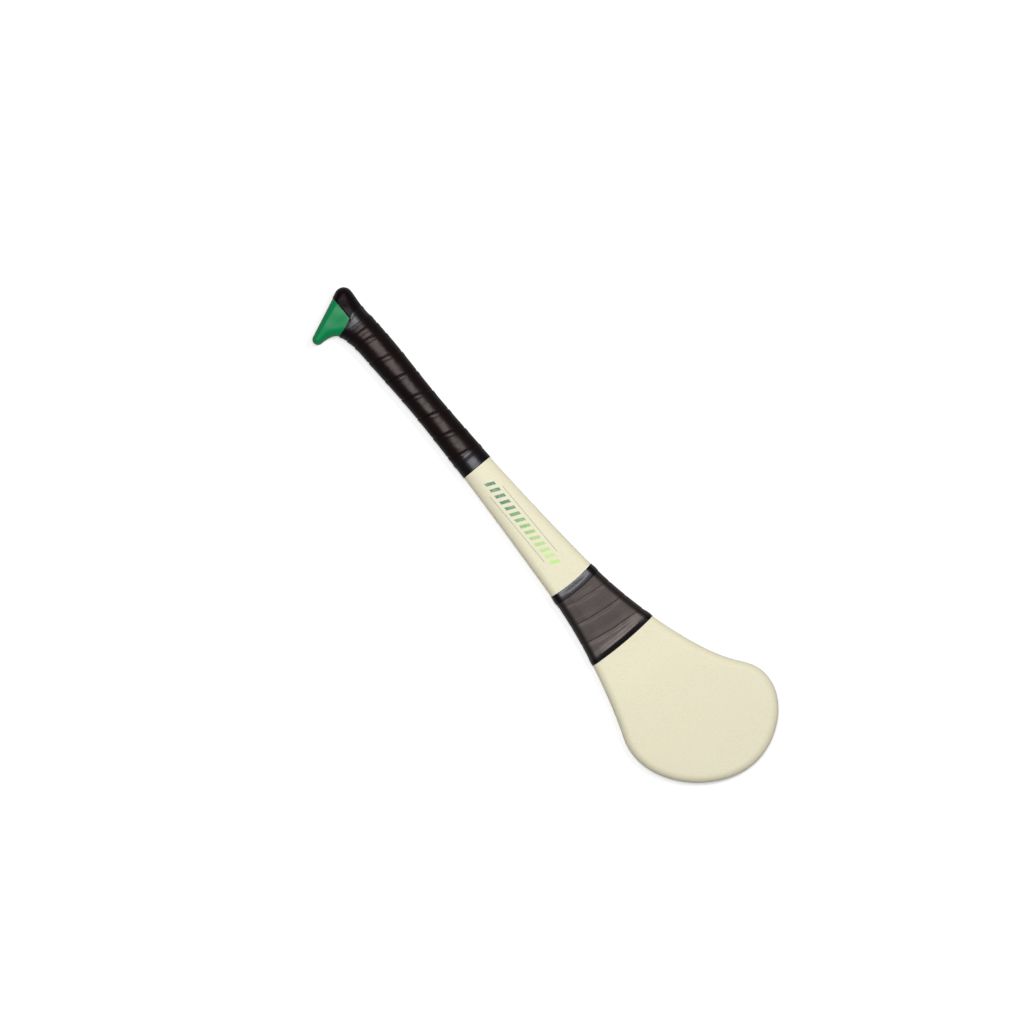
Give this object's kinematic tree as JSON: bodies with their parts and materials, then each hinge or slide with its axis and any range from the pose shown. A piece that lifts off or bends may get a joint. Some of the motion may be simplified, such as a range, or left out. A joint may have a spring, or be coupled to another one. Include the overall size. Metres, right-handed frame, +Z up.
{
  "type": "hurley stick",
  "caption": "Composite hurley with a hooked heel cap, taped grip and throat, and a broad flat bas; lies flat on its back.",
  "frame": {"origin": "under the middle of the stick's box, on the surface that it lies on", "axes": "+X along the handle from the butt to the bas, +Y to the toe side, +Z up through the front face"},
  "size_m": [0.61, 0.1492, 0.0244],
  "materials": {
    "moulded_skin": "matte cream, finely speckled",
    "foam_core": "rigid foam",
    "spar_fibre": "fibre-reinforced resin",
    "cap_plastic": "moulded green, satin",
    "black_tape": "satin black adhesive tape",
    "grip_tape": "soft black grip tape"
  },
  "bodies": {
    "root": {"front_skin": "moulded_skin", "back_skin": "moulded_skin", "bas_core": "foam_core", "handle_spar": "spar_fibre", "heel_cap": "cap_plastic", "heel_strap": "black_tape", "neck_tape": "black_tape", "grip_wrap": "grip_tape", "grip_finishing_tape": "black_tape", "throat_upper_tape": "black_tape", "throat_wrap": "black_tape", "throat_lower_tape": "black_tape"}
  },
  "joints": []
}
